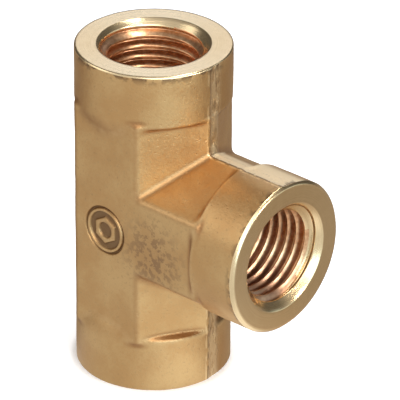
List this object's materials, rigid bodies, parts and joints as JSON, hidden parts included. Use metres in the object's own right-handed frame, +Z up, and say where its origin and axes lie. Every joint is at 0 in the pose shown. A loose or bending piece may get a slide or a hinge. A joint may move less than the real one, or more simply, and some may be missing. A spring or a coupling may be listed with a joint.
{
  "type": "pipe tee",
  "caption": "Forged pipe tee: round, internally threaded collars on the run and the branch, with a hexagonal wrench body between them.",
  "frame": {"origin": "centre of the bounding box's underside: the lower port face is at z = 0 and the run axis is at x = -6.0625 mm", "axes": "+Z up along the run, +X out through the branch, +Y away from the flat that carries the round mark; the forging's parting plane is XZ"},
  "size_m": [0.0324, 0.02, 0.0444],
  "materials": {
    "tee_body": "satin forged skin, bright machined port faces and threads"
  },
  "bodies": {
    "root": {"tee_body": "tee_body"}
  },
  "joints": []
}
